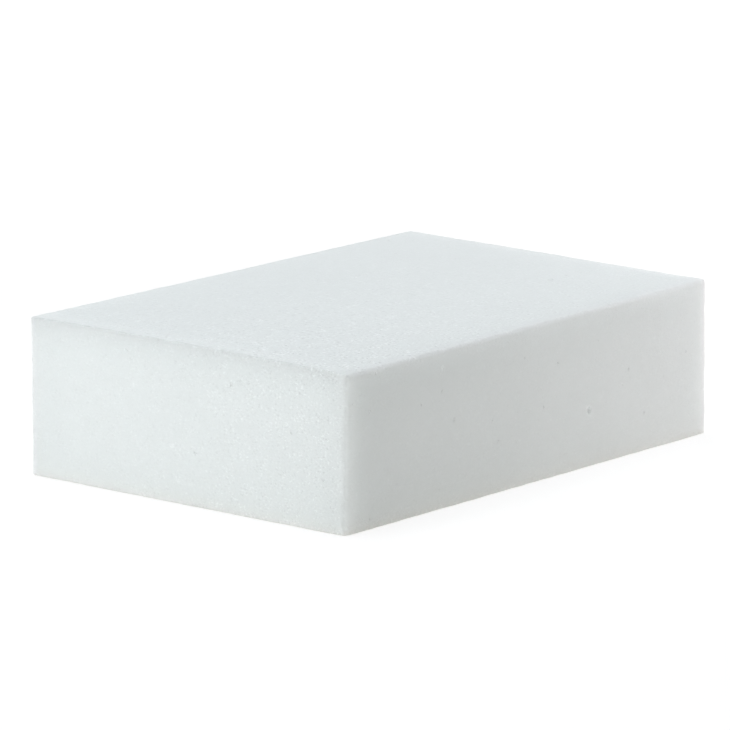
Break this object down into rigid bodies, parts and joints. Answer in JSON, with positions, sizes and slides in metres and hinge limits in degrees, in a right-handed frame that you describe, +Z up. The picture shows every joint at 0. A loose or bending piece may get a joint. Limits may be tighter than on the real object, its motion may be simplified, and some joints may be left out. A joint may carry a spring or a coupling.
{
  "type": "melamine sponge",
  "caption": "Plain rectangular block of fine open-cell white melamine foam, with cut faces and slightly softened edges, for wiping and rubbing marks off hard surfaces.",
  "frame": {"origin": "middle of the underside, on the surface that the block rests on", "axes": "+X along the length, +Y across the width, +Z up through the thickness"},
  "size_m": [0.11, 0.075, 0.03],
  "materials": {
    "melamine_foam": "dry, matt, cool white foam with very fine open cells, soft to the light at its edges"
  },
  "bodies": {
    "root": {"foam_block": "melamine_foam"}
  },
  "joints": []
}
